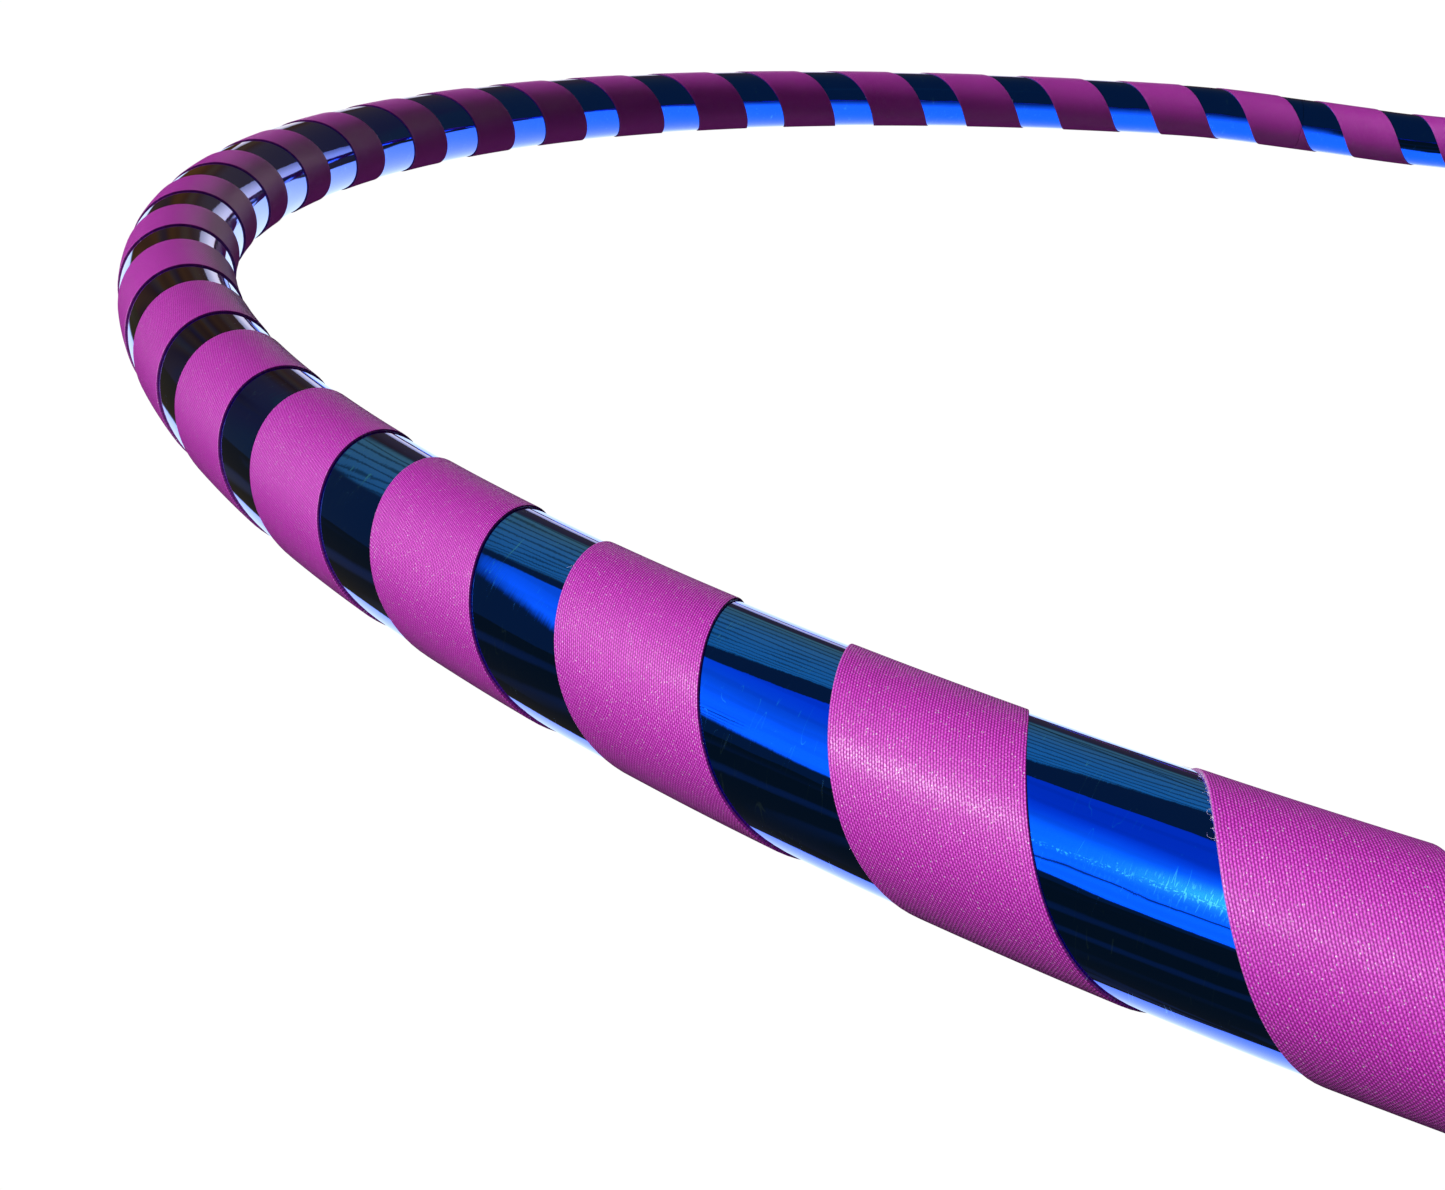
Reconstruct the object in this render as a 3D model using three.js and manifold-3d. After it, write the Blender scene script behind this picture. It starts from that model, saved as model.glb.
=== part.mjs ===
// Adult wrapped dance hoop, one ring that comes apart at a push-button joint.
//
// The ring is one length of plastic tube bent into a circle. Its two ends meet on
// a short inner sleeve (connector_insert). The sleeve is fixed to one end by two
// blind rivets; a sprung snap button in the sleeve locks the other end. A mirror
// film covers the whole tube, and a cloth grip tape is wound over the film in an
// open spiral, so film and tape alternate as slanted stripes. Film and tape are
// slit at the joint.
//
// Units are millimetres, +Z is up, the ring lies flat and is centred on the Z axis.
// Two angles place everything: "th" goes round the ring (degrees, from +X towards
// +Y) and "psi" goes round the tube (0 = outward, 90 = up, 180 = towards the centre).

import * as THREE from 'three';
import { mergeVertices } from 'three/addons/utils/BufferGeometryUtils.js';
import Module from 'manifold-3d';

const wasm = await Module();
wasm.setup();

// ---------------------------------------------------------------- dimensions
const RING_R = 468.4;        // centreline radius; 965 mm (38 in) across outside
const TUBE_R = 13.35;        // 3/4 inch pressure pipe, 26.7 mm outside
const BORE_R = 10.45;        // 20.9 mm bore
const FILM_IN = 13.45;       // mirror film sleeve
const FILM_OUT = 13.57;
const TAPE_IN = 13.95;       // cloth grip tape
const TAPE_OUT = 14.2;
const BASE_Z = 19.8;         // centreline height of the nominal ring plane

const JOINT_TH = 118.25;     // where the two tube ends meet
const SEAM_GAP = 0.5;        // between the two tube ends
const INSERT_LEN = 110;      // inner sleeve, half in each end
const INSERT_OUT = 10.1;
const INSERT_IN = 8.1;

const BUTTON_FROM_SEAM = 25; // along the centreline, locking side
const BUTTON_R = 4.0;
const BUTTON_TOP = 15.1;     // height of the dome above the centreline
const RIVET_FROM_SEAM = [25, 43]; // fixed side
const LEAF_R = 5.7;          // bend radius and leg height of the spring leaf
const LEAF_T = 0.8;          // leaf thickness
const LEAF_W = 8.0;          // leaf width
const PIVOT_X = -20;         // bend end, measured from the middle of the clip
const BUTTON_X = 16;
const LEAF_END = 21;

const SIDES = 12;            // facets round the tube
const MM = 180 / Math.PI / RING_R;   // degrees of ring per millimetre

// Height of the centreline above the ring plane: the joint sits a little skew.
const HEIGHT = [
  [-20, 0], [0, -0.3], [30, -1.2], [60, -3.0], [90, -5.0], [105, -5.6],
  [109, -5.5], [111, -5.1], [113, -4.35], [118, -2.15], [123, 0.05], [125, 0.72],
  [127, 0.9], [135, 0.9], [150, 0.7], [170, 0.3], [190, 0], [340, 0],
];

// Grip tape: th of its leading edge at psi = 0 for each turn, and its width in
// degrees of ring. The spiral is hand wound, so its pitch drifts round the ring.
const TURNS = 57;
const LEAD = [
  193.35, 200.08, 206.55, 212.64, 218.44, 224.07, 229.56, 234.94, 240.23,
  245.46, 250.71, 256.13, 261.75, 267.59, 273.37, 279.15, 284.95, 290.81,
  296.7, 302.62, 308.58, 314.57, 320.59, 326.65, 332.74, 338.86, 345.02,
  351.21, 357.43, 363.68, 369.97, 376.29, 382.64, 389.03, 395.45, 401.9,
  408.38, 414.89, 421.44, 428.01, 434.62, 441.27, 447.94, 454.65, 461.37,
  467.96, 474.69, 481.68, 488.91, 496.26, 503.7, 511.15, 518.52, 525.83,
  532.94, 539.79, 546.57,
];
const SWAY = 0.12;            // degrees the tape leans over and back within each turn
const WIDTH = [
  3.27, 3.11, 3.01, 3.01, 3.11, 3.27, 3.38, 3.4, 3.32, 3.21, 3.16, 3.17,
  3.2, 3.2, 3.2, 3.2, 3.21, 3.24, 3.27, 3.31, 3.34, 3.38, 3.41, 3.45,
  3.48, 3.51, 3.54, 3.56, 3.58, 3.6, 3.62, 3.63, 3.64, 3.65, 3.66, 3.66,
  3.67, 3.67, 3.68, 3.69, 3.7, 3.72, 3.75, 3.78, 3.83, 3.89, 3.97, 4.06,
  4.17, 4.27, 4.31, 4.28, 4.19, 4.06, 3.89, 3.69, 3.48,
];

// ---------------------------------------------------------------- the centreline
const rad = (deg) => deg * Math.PI / 180;

// monotone cubic through the HEIGHT table, with th taken into -20..340
function height(th) {
  let t = th;
  while (t < -20) t += 360;
  while (t >= 340) t -= 360;
  const n = HEIGHT.length;
  let i = 0;
  while (i < n - 2 && t > HEIGHT[i + 1][0]) i++;
  const slope = (k) => (HEIGHT[k + 1][1] - HEIGHT[k][1]) / (HEIGHT[k + 1][0] - HEIGHT[k][0]);
  const tangent = (k) => {
    if (k <= 0 || k >= n - 1) return 0;
    const a = slope(k - 1), b = slope(k);
    if (a * b <= 0) return 0;
    const ha = HEIGHT[k][0] - HEIGHT[k - 1][0], hb = HEIGHT[k + 1][0] - HEIGHT[k][0];
    const w1 = 2 * hb + ha, w2 = hb + 2 * ha;
    return (w1 + w2) / (w1 / a + w2 / b);
  };
  const [x0, y0] = HEIGHT[i], [x1, y1] = HEIGHT[i + 1];
  const h = x1 - x0, u = (t - x0) / h, m0 = tangent(i) * h, m1 = tangent(i + 1) * h;
  return (2 * u ** 3 - 3 * u ** 2 + 1) * y0 + (u ** 3 - 2 * u ** 2 + u) * m0
    + (-2 * u ** 3 + 3 * u ** 2) * y1 + (u ** 3 - u ** 2) * m1;
}

const centre = (th) => new THREE.Vector3(
  RING_R * Math.cos(rad(th)), RING_R * Math.sin(rad(th)), BASE_Z + height(th));
const outward = (th) => new THREE.Vector3(Math.cos(rad(th)), Math.sin(rad(th)), 0);

// point on a tube of radius r
function skin(th, psi, r) {
  const p = centre(th), e = outward(th);
  return p.addScaledVector(e, r * Math.cos(psi)).add(new THREE.Vector3(0, 0, r * Math.sin(psi)));
}

// local frame of the straight piece at th: x along the tube, y outward, z across
function localFrame(th) {
  const x = centre(th + 0.5).sub(centre(th - 0.5)).normalize();
  const y = outward(th);
  y.addScaledVector(x, -y.dot(x)).normalize();
  const z = new THREE.Vector3().crossVectors(x, y);
  return new THREE.Matrix4().makeBasis(x, y, z).setPosition(centre(th));
}

// ---------------------------------------------------------------- mesh helpers
function solidGeometry(points, faces) {
  const g = new THREE.BufferGeometry();
  const a = new Float32Array(points.length * 3);
  points.forEach((p, i) => { a[3 * i] = p.x; a[3 * i + 1] = p.y; a[3 * i + 2] = p.z; });
  g.setAttribute('position', new THREE.BufferAttribute(a, 3));
  g.setIndex(faces);
  return g;
}

function toManifold(geometry, matrix) {
  let g = geometry.clone();
  if (matrix) g.applyMatrix4(matrix);
  for (const name of Object.keys(g.attributes)) if (name !== 'position') g.deleteAttribute(name);
  g = mergeVertices(g, 1e-4);
  return new wasm.Manifold(new wasm.Mesh({
    numProp: 3,
    vertProperties: new Float32Array(g.attributes.position.array),
    triVerts: new Uint32Array(g.index.array),
  }));
}

function fromManifold(m) {
  const mesh = m.getMesh();
  const g = new THREE.BufferGeometry();
  g.setAttribute('position', new THREE.BufferAttribute(new Float32Array(mesh.vertProperties), 3));
  g.setIndex(Array.from(mesh.triVerts));
  return g;
}

// open ring sleeve through the stations "ths", closed at both ends
function sleeve(ths, rOut, rIn) {
  const pts = [], f = [];
  const n = SIDES;
  ths.forEach((th) => {
    for (let j = 0; j < n; j++) pts.push(skin(th, 2 * Math.PI * j / n, rOut));
    for (let j = 0; j < n; j++) pts.push(skin(th, 2 * Math.PI * j / n, rIn));
  });
  const id = (i, j, inner) => i * 2 * n + (inner ? n : 0) + ((j + n) % n);
  for (let i = 0; i < ths.length - 1; i++) {
    for (let j = 0; j < n; j++) {
      const a = id(i, j, 0), b = id(i + 1, j, 0), c = id(i + 1, j + 1, 0), d = id(i, j + 1, 0);
      f.push(a, b, c, a, c, d);
      const p = id(i, j, 1), q = id(i + 1, j, 1), r = id(i + 1, j + 1, 1), s = id(i, j + 1, 1);
      f.push(p, r, q, p, s, r);
    }
  }
  const e = ths.length - 1;
  for (let j = 0; j < n; j++) {
    f.push(id(0, j, 0), id(0, j + 1, 0), id(0, j + 1, 1), id(0, j, 0), id(0, j + 1, 1), id(0, j, 1));
    f.push(id(e, j, 0), id(e, j + 1, 1), id(e, j + 1, 0), id(e, j, 0), id(e, j, 1), id(e, j + 1, 1));
  }
  return solidGeometry(pts, f);
}

// stations from the joint once round to the joint, closer together near it
function ringStations(gap) {
  const lo = JOINT_TH + gap / 2 * MM, hi = JOINT_TH + 360 - gap / 2 * MM;
  const out = [lo];
  for (let t = JOINT_TH + 1.5; t < JOINT_TH + 12.1; t += 1.5) out.push(t);
  for (let t = 135; t < 465; t += 4.5) if (t > JOINT_TH + 14) out.push(t);
  for (let t = JOINT_TH + 348; t < JOINT_TH + 359; t += 1.5) out.push(t);
  out.push(hi);
  return out.sort((a, b) => a - b).filter((t, i, arr) => i === 0 || t - arr[i - 1] > 0.4);
}

// leading edge of the tape, th as a function of turns tau (any real number)
function lead(tau) {
  const at = (k) => LEAD[((k % TURNS) + TURNS) % TURNS] + 360 * Math.floor(k / TURNS);
  const k = Math.floor(tau), u = tau - k;
  const p0 = at(k - 1), p1 = at(k), p2 = at(k + 1), p3 = at(k + 2);
  const line = p1 + 0.5 * u * (p2 - p0 + u * (2 * p0 - 5 * p1 + 4 * p2 - p3 + u * (3 * (p1 - p2) + p3 - p0)));
  return line - SWAY * Math.cos(2 * Math.PI * tau + rad(30));
}
function width(tau) {
  const at = (k) => WIDTH[((k % TURNS) + TURNS) % TURNS];
  const k = Math.floor(tau), u = tau - k;
  return at(k) * (1 - u) + at(k + 1) * u;
}

// the tape as one closed ribbon, trimmed square at the joint
function tapeRibbon() {
  const lo = JOINT_TH + SEAM_GAP / 2 * MM, hi = JOINT_TH + 360 - SEAM_GAP / 2 * MM;
  const pts = [], f = [];
  let rows = 0;
  for (let m = -TURNS * SIDES; m <= 2 * TURNS * SIDES; m++) {
    const tau = m / SIDES;
    const a = Math.max(lead(tau), lo), b = Math.min(lead(tau) + width(tau), hi);
    if (b - a < 0.12) continue;
    const psi = -2 * Math.PI * tau;
    pts.push(skin(a, psi, TAPE_OUT), skin(b, psi, TAPE_OUT), skin(b, psi, TAPE_IN), skin(a, psi, TAPE_IN));
    rows++;
  }
  for (let i = 0; i < rows - 1; i++) {
    for (let j = 0; j < 4; j++) {
      const a = 4 * i + j, b = 4 * i + (j + 1) % 4, c = a + 4, d = b + 4;
      f.push(a, d, b, a, c, d);
    }
  }
  f.push(0, 1, 2, 0, 2, 3);
  const e = 4 * (rows - 1);
  f.push(e, e + 2, e + 1, e, e + 3, e + 2);
  return solidGeometry(pts, f);
}

// solid of revolution about the outward axis of a frame; profile is [radius, height]
function turned(profile, segments) {
  const g = new THREE.LatheGeometry(profile.map(([r, h]) => new THREE.Vector2(r, h)), segments);
  return g;
}
const plug = (r, h0, h1, seg = 20) => turned([[0, h0], [r, h0], [r, h1], [0, h1]], seg);

// flat strip bent to a centreline in the x-y plane and extruded across z
function leafStrip(line, thickness, w) {
  const left = [], right = [];
  line.forEach((p, i) => {
    const a = line[Math.max(i - 1, 0)], b = line[Math.min(i + 1, line.length - 1)];
    const t = new THREE.Vector2(b[0] - a[0], b[1] - a[1]).normalize();
    left.push(new THREE.Vector2(p[0] - t.y * thickness / 2, p[1] + t.x * thickness / 2));
    right.push(new THREE.Vector2(p[0] + t.y * thickness / 2, p[1] - t.x * thickness / 2));
  });
  const shape = new THREE.Shape([...left, ...right.reverse()]);
  const g = new THREE.ExtrudeGeometry(shape, { depth: w, bevelEnabled: false, steps: 1 });
  g.translate(0, 0, -w / 2);
  return g;
}

// ---------------------------------------------------------------- materials
const paint = (color, roughness, metalness) =>
  new THREE.MeshStandardMaterial({ color, roughness, metalness });
const group = new THREE.Group();
function add(name, geometry, material, matrix) {
  const mesh = new THREE.Mesh(geometry, material);
  mesh.name = name;
  if (matrix) {
    matrix.decompose(mesh.position, mesh.quaternion, mesh.scale);
  }
  group.add(mesh);
  return mesh;
}

// ---------------------------------------------------------------- the ring
const clipTh = JOINT_TH + (BUTTON_FROM_SEAM - BUTTON_X) * MM;
const clip = localFrame(clipTh);
const shiftX = (m, x) => m.clone().multiply(new THREE.Matrix4().makeTranslation(x, 0, 0));
const buttonAt = shiftX(clip, BUTTON_X);

// holes: the button's through tube, film and tape; the countersunk rivet holes
const buttonHole = (r, h0, h1) => toManifold(plug(r, h0, h1, 24), buttonAt);
const rivetAt = RIVET_FROM_SEAM.map((d) => localFrame(JOINT_TH - d * MM));
const rivetHole = (m) => toManifold(turned([[0, 6], [2.35, 6], [2.35, 11.2], [3.75, 12.6], [3.75, 15], [0, 15]], 20), m);

const stations = ringStations(SEAM_GAP);
let tube = toManifold(sleeve(stations, TUBE_R, BORE_R));
tube = tube.subtract(buttonHole(4.6, 8.6, 16));
for (const m of rivetAt) tube = tube.subtract(rivetHole(m));
add('hoop_tube', fromManifold(tube), paint(0x17171a, 0.5, 0));

let film = toManifold(sleeve(stations, FILM_OUT, FILM_IN));
film = film.subtract(buttonHole(4.9, 11, 16));
add('mirror_film_wrap', fromManifold(film), paint(0x0b2bb0, 0.12, 1));

let tape = toManifold(tapeRibbon());
tape = tape.subtract(buttonHole(5.1, 11, 17));
add('grip_tape_wrap', fromManifold(tape), paint(0xa83aa0, 0.85, 0));

// ---------------------------------------------------------------- the joint
const insertStations = [];
for (let i = 0; i <= 12; i++) insertStations.push(JOINT_TH + (i / 12 - 0.5) * INSERT_LEN * MM);
let insert = toManifold(sleeve(insertStations, INSERT_OUT, INSERT_IN));
insert = insert.subtract(buttonHole(5.1, 5, 12));
for (const m of rivetAt) insert = insert.subtract(toManifold(plug(2.35, 5, 12), m));
add('connector_insert', fromManifold(insert), paint(0xd9dadc, 0.45, 0));

// blind rivet: countersunk head, hollow shank, flared tail; then its broken mandrel
rivetAt.forEach((m, i) => {
  add(`rivet_body_${i + 1}`, turned([
    [1.2, 12.55], [3.3, 12.55], [3.3, 12.35], [2.0, 11.05], [2.0, 7.2], [2.9, 6.6], [2.9, 6.1],
    [2.1, 5.6], [1.2, 5.6], [1.2, 12.55]].reverse(), 16), paint(0xb9bcc0, 0.4, 1), m);
  add(`rivet_mandrel_${i + 1}`, turned([
    [0, 12.1], [0.85, 12.0], [0.85, 5.2], [1.9, 5.2], [1.9, 4.6], [1.1, 4.0], [0, 3.8]].reverse(), 12),
  paint(0x8d9095, 0.45, 1), m);
});

// spring clip: the fixed leg lies on the inner side of the bore and turns up round
// the bend; the moving leg carries the button on the outer side
const bend = [];
for (let a = -90; a >= -270; a -= 15) bend.push([PIVOT_X + LEAF_R * Math.cos(rad(a)), LEAF_R * Math.sin(rad(a))]);
add('button_spring_fixed_leg', leafStrip([[LEAF_END, -LEAF_R], [0, -LEAF_R], ...bend], LEAF_T, LEAF_W),
  paint(0x9ea2a8, 0.35, 1), clip);

const arm = toManifold(leafStrip([[PIVOT_X + 0.4, LEAF_R], [0, LEAF_R], [LEAF_END, LEAF_R]], LEAF_T, LEAF_W))
  .subtract(toManifold(plug(1.85, 4, 8, 16), new THREE.Matrix4().makeTranslation(BUTTON_X, 0, 0)));
add('button_spring_moving_leg', fromManifold(arm), paint(0x9ea2a8, 0.35, 1), clip);

// button: tail and stem through the leg, cylinder and dome
const dome = [];
for (let k = 0; k <= 5; k++) {
  const a = k / 5 * Math.PI / 2;
  dome.push([BUTTON_R * Math.cos(a), BUTTON_TOP - 2.2 + 2.2 * Math.sin(a)]);
}
dome[dome.length - 1][0] = 0;
add('snap_button', turned([
  [0, 4.2], [2.5, 4.2], [2.5, 4.95], [1.5, 4.95], [1.5, 6.45], [BUTTON_R, 6.45], ...dome], 24),
paint(0xc4c7cc, 0.25, 1), buttonAt);

export default group;
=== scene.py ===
import bpy
import math
import numpy as np
from mathutils import Vector, Matrix


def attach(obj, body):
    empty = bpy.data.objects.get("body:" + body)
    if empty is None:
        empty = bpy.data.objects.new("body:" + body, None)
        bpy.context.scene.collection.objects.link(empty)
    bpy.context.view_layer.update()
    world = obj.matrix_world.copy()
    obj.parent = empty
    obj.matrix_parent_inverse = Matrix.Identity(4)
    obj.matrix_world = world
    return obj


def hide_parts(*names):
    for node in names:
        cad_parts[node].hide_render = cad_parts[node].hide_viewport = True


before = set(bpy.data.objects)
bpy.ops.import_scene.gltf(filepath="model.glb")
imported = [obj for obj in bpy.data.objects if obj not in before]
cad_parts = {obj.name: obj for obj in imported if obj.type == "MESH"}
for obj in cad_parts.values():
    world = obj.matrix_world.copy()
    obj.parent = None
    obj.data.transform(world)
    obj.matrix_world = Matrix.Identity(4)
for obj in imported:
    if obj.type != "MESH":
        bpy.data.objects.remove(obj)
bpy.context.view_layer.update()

# ------------------------------------------------------------------ design data
# Same numbers as the CAD source, in millimetres and degrees. th goes round the
# ring from +X towards +Y, psi goes round the tube (0 outward, 90 up).
RING_R = 468.4
BASE_Z = 19.8
JOINT_TH = 118.25
SEAM_GAP = 0.5
MM = 180 / math.pi / RING_R
HEIGHT = [(-20, 0), (0, -0.3), (30, -1.2), (60, -3.0), (90, -5.0), (105, -5.6),
          (109, -5.5), (111, -5.1), (113, -4.35), (118, -2.15), (123, 0.05), (125, 0.72),
          (127, 0.9), (135, 0.9), (150, 0.7), (170, 0.3), (190, 0), (340, 0)]
TURNS = 57
LEAD = np.array([
    193.35, 200.08, 206.55, 212.64, 218.44, 224.07, 229.56, 234.94, 240.23,
    245.46, 250.71, 256.13, 261.75, 267.59, 273.37, 279.15, 284.95, 290.81,
    296.7, 302.62, 308.58, 314.57, 320.59, 326.65, 332.74, 338.86, 345.02,
    351.21, 357.43, 363.68, 369.97, 376.29, 382.64, 389.03, 395.45, 401.9,
    408.38, 414.89, 421.44, 428.01, 434.62, 441.27, 447.94, 454.65, 461.37,
    467.96, 474.69, 481.68, 488.91, 496.26, 503.7, 511.15, 518.52, 525.83,
    532.94, 539.79, 546.57])
WIDTH = np.array([
    3.27, 3.11, 3.01, 3.01, 3.11, 3.27, 3.38, 3.4, 3.32, 3.21, 3.16, 3.17,
    3.2, 3.2, 3.2, 3.2, 3.21, 3.24, 3.27, 3.31, 3.34, 3.38, 3.41, 3.45,
    3.48, 3.51, 3.54, 3.56, 3.58, 3.6, 3.62, 3.63, 3.64, 3.65, 3.66, 3.66,
    3.67, 3.67, 3.68, 3.69, 3.7, 3.72, 3.75, 3.78, 3.83, 3.89, 3.97, 4.06,
    4.17, 4.27, 4.31, 4.28, 4.19, 4.06, 3.89, 3.69, 3.48])

TUBE_R, BORE_R = 13.35, 10.45
FILM_IN, FILM_R = 13.40, 13.62
TAPE_IN, TAPE_R = 13.64, 14.02
TAPE_MM = 25.4
RIVETS_MM = (25, 43)  # rivets, back from the seam
SWAY = 0.12          # degrees the tape leans over and back within each turn


def _tangents():
    x = np.array([h[0] for h in HEIGHT], float)
    y = np.array([h[1] for h in HEIGHT], float)
    s = np.diff(y) / np.diff(x)
    m = np.zeros(len(x))
    for k in range(1, len(x) - 1):
        a, b = s[k - 1], s[k]
        if a * b > 0:
            ha, hb = x[k] - x[k - 1], x[k + 1] - x[k]
            w1, w2 = 2 * hb + ha, hb + 2 * ha
            m[k] = (w1 + w2) / (w1 / a + w2 / b)
    return x, y, m


HX, HY, HM = _tangents()


def height(th):
    t = (np.asarray(th, float) + 20) % 360 - 20
    i = np.clip(np.searchsorted(HX, t, side="right") - 1, 0, len(HX) - 2)
    h = HX[i + 1] - HX[i]
    u = (t - HX[i]) / h
    return ((2 * u**3 - 3 * u**2 + 1) * HY[i] + (u**3 - 2 * u**2 + u) * HM[i] * h
            + (-2 * u**3 + 3 * u**2) * HY[i + 1] + (u**3 - u**2) * HM[i + 1] * h)


def skin(th, psi, r):
    """Points in metres on a tube of radius r millimetres; th in degrees, psi in radians."""
    th, psi, r = np.broadcast_arrays(np.asarray(th, float), psi, r)
    a = np.radians(th)
    q = RING_R + r * np.cos(psi)
    return np.stack([q * np.cos(a), q * np.sin(a), BASE_Z + height(th) + r * np.sin(psi)], -1) / 1000


def _at(k):
    return LEAD[np.mod(k, TURNS)] + 360 * np.floor(k / TURNS)


def lead(tau):
    tau = np.asarray(tau, float)
    k = np.floor(tau).astype(int)
    u = tau - k
    p0, p1, p2, p3 = _at(k - 1), _at(k), _at(k + 1), _at(k + 2)
    line = p1 + 0.5 * u * (p2 - p0 + u * (2 * p0 - 5 * p1 + 4 * p2 - p3 + u * (3 * (p1 - p2) + p3 - p0)))
    return line - SWAY * np.cos(2 * np.pi * tau + math.radians(30))


def width(tau):
    tau = np.asarray(tau, float)
    k = np.floor(tau).astype(int)
    u = tau - k
    return WIDTH[np.mod(k, TURNS)] * (1 - u) + WIDTH[np.mod(k + 1, TURNS)] * u


def local_frame(th):
    c = lambda t: Vector(skin(t, 0.0, 0.0).tolist())
    x = (c(th + 0.5) - c(th - 0.5)).normalized()
    y = Vector((math.cos(math.radians(th)), math.sin(math.radians(th)), 0))
    y = (y - x * y.dot(x)).normalized()
    z = x.cross(y)
    m = Matrix((x, y, z)).transposed().to_4x4()
    m.translation = c(th)
    return m


# ------------------------------------------------------------------ mesh helpers
def make_mesh(name, verts, faces, uvs=None, smooth=True):
    me = bpy.data.meshes.new(name)
    verts = np.asarray(verts, np.float32)
    faces = np.asarray(faces, np.int32)
    n, k = faces.shape
    me.vertices.add(len(verts))
    me.vertices.foreach_set("co", verts.ravel())
    me.loops.add(n * k)
    me.loops.foreach_set("vertex_index", faces.ravel())
    me.polygons.add(n)
    me.polygons.foreach_set("loop_start", np.arange(0, n * k, k, dtype=np.int32))
    me.polygons.foreach_set("loop_total", np.full(n, k, np.int32))
    me.polygons.foreach_set("use_smooth", np.full(n, smooth))
    if uvs is not None:
        layer = me.uv_layers.new(name="Along")
        layer.data.foreach_set("uv", np.asarray(uvs, np.float32).ravel())
    me.update(calc_edges=True)
    me.validate()
    if smooth:
        me.set_sharp_from_angle(angle=math.radians(50))
    ob = bpy.data.objects.new(name, me)
    bpy.context.scene.collection.objects.link(ob)
    return ob


def cut(ob, cutter):
    """Takes the cutter's volume out of ob's mesh for good."""
    mod = ob.modifiers.new("cut", "BOOLEAN")
    mod.operation = "DIFFERENCE"
    mod.solver = "EXACT"
    mod.object = cutter
    dg = bpy.context.evaluated_depsgraph_get()
    me = bpy.data.meshes.new_from_object(ob.evaluated_get(dg), preserve_all_data_layers=True, depsgraph=dg)
    old = ob.data
    me.name = old.name
    me.set_sharp_from_angle(angle=math.radians(50))
    ob.modifiers.clear()
    ob.data = me
    bpy.data.meshes.remove(old)


def cylinder_cutter(m, r, h0, h1, n=64, r_top=None):
    a = np.linspace(0, 2 * np.pi, n, endpoint=False)
    v = [m @ Vector((q * math.cos(t) / 1000, h / 1000, q * math.sin(t) / 1000)) for q, h in ((r, h0), (r_top or r, h1)) for t in a]
    me = bpy.data.meshes.new("cutter")
    f = [(i, (i + 1) % n, n + (i + 1) % n, n + i) for i in range(n)]
    f += [tuple(range(n - 1, -1, -1)), tuple(range(n, 2 * n))]
    me.from_pydata([tuple(p) for p in v], [], f)
    import bmesh
    bm = bmesh.new()
    bm.from_mesh(me)
    bmesh.ops.recalc_face_normals(bm, faces=bm.faces)
    bm.to_mesh(me)
    bm.free()
    ob = bpy.data.objects.new("cutter", me)
    bpy.context.scene.collection.objects.link(ob)
    return ob


def sleeve(name, r_out, r_in, step=0.5, sides=96, gap=SEAM_GAP):
    lo, hi = JOINT_TH + gap / 2 * MM, JOINT_TH + 360 - gap / 2 * MM
    th = np.linspace(lo, hi, int(360 / step) + 1)
    n = sides
    ps = 2 * np.pi * np.arange(n) / n
    outer = skin(th[:, None], ps[None, :], r_out)
    inner = skin(th[:, None], ps[None, :], r_in)
    v = np.concatenate([outer.reshape(-1, 3), inner.reshape(-1, 3)])
    m = len(th)
    off = m * n
    i, j = np.meshgrid(np.arange(m - 1), np.arange(n), indexing="ij")
    j2 = (j + 1) % n
    fo = np.stack([i * n + j, (i + 1) * n + j, (i + 1) * n + j2, i * n + j2], -1).reshape(-1, 4)
    fi = off + np.stack([i * n + j, i * n + j2, (i + 1) * n + j2, (i + 1) * n + j], -1).reshape(-1, 4)
    J = np.arange(n)
    J2 = (J + 1) % n
    e = (m - 1) * n
    f0 = np.stack([J, J2, off + J2, off + J], -1)
    f1 = np.stack([e + J, off + e + J, off + e + J2, e + J2], -1)
    faces = np.concatenate([fo, fi, f0, f1])
    x = (th - JOINT_TH) / MM
    yo = 2 * np.pi * r_out * np.arange(n + 1) / n
    uo = np.stack([np.stack([x[i], yo[j]], -1), np.stack([x[i + 1], yo[j]], -1),
                   np.stack([x[i + 1], yo[j + 1]], -1), np.stack([x[i], yo[j + 1]], -1)], -2).reshape(-1, 4, 2)
    ui = np.stack([np.stack([x[i], yo[j]], -1), np.stack([x[i], yo[j + 1]], -1),
                   np.stack([x[i + 1], yo[j + 1]], -1), np.stack([x[i + 1], yo[j]], -1)], -2).reshape(-1, 4, 2)
    ue = np.zeros((2 * n, 4, 2))
    ue[:, :, 1] = np.tile(yo[:-1], 2)[:, None]
    uvs = np.concatenate([uo, ui, ue]) / 1000
    return make_mesh(name, v, faces, uvs)


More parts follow.
